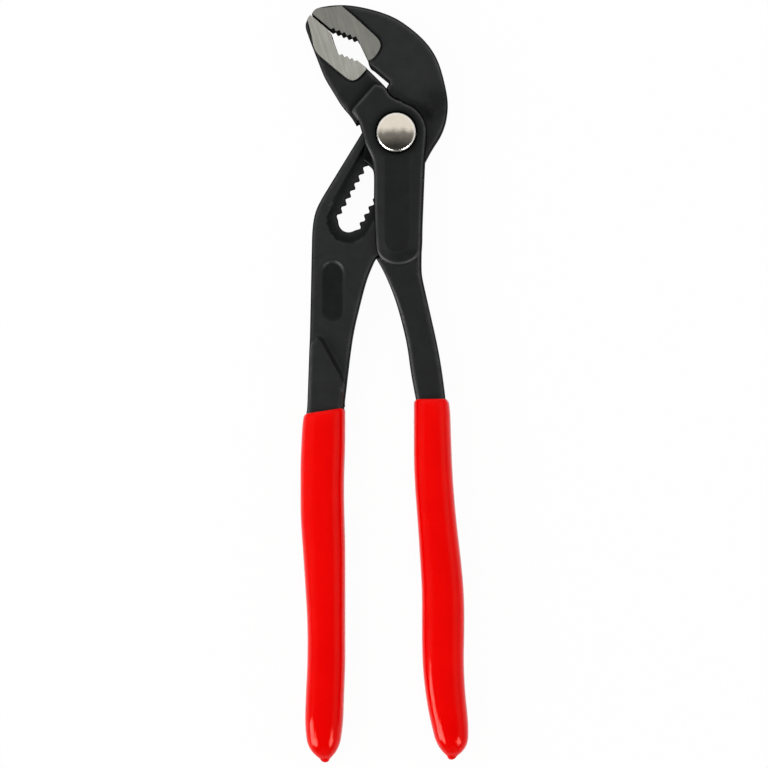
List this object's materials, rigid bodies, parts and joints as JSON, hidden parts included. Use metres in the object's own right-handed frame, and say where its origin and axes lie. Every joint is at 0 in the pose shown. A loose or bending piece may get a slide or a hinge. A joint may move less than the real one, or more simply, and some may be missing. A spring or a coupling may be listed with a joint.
{
  "type": "water pump pliers",
  "caption": "Adjustable box-joint water pump pliers with serrated jaws, a toothed adjusting slot, a push-button lock and dipped vinyl grips.",
  "frame": {"origin": "on the pivot axis, at the back face of the box joint", "axes": "+Y towards the jaws along the pliers' length, +X to the right of the button side, +Z out of the front face along the pivot axis"},
  "size_m": [0.0556, 0.2498, 0.0146],
  "materials": {
    "forged_steel": "black oiled forging with ground bright jaw faces",
    "red_vinyl": "glossy dipped vinyl",
    "nickel": "polished nickel plate",
    "bare_steel": "turned steel"
  },
  "bodies": {
    "box_lever_body": {"box_lever": "forged_steel", "right_grip": "red_vinyl", "rear_cover_disc": "bare_steel"},
    "pivot_carriage": {"spring_seat_washer": "bare_steel", "return_spring": "bare_steel"},
    "slot_lever_body": {"slot_lever": "forged_steel", "left_grip": "red_vinyl"},
    "lock_button": {"lock_bolt": "bare_steel", "button_cap": "nickel"}
  },
  "joints": [
    {"name": "handle_pivot", "type": "hinge", "parent": "box_lever_body", "child": "pivot_carriage", "pos_m": [0, 0, 0.0063], "axis": [0, 0, -1], "range_deg": [0, 24]},
    {"name": "jaw_adjust", "type": "slide", "parent": "pivot_carriage", "child": "slot_lever_body", "axis": [0.4848, 0.8746, 0], "range_m": [0, 0.018]},
    {"name": "button_press", "type": "slide", "parent": "pivot_carriage", "child": "lock_button", "axis": [0, 0, -1], "range_m": [0, 0.00155], "stiffness_N_per_m": 1500, "springref_m": -0.002, "deforming": ["return_spring"]}
  ]
}
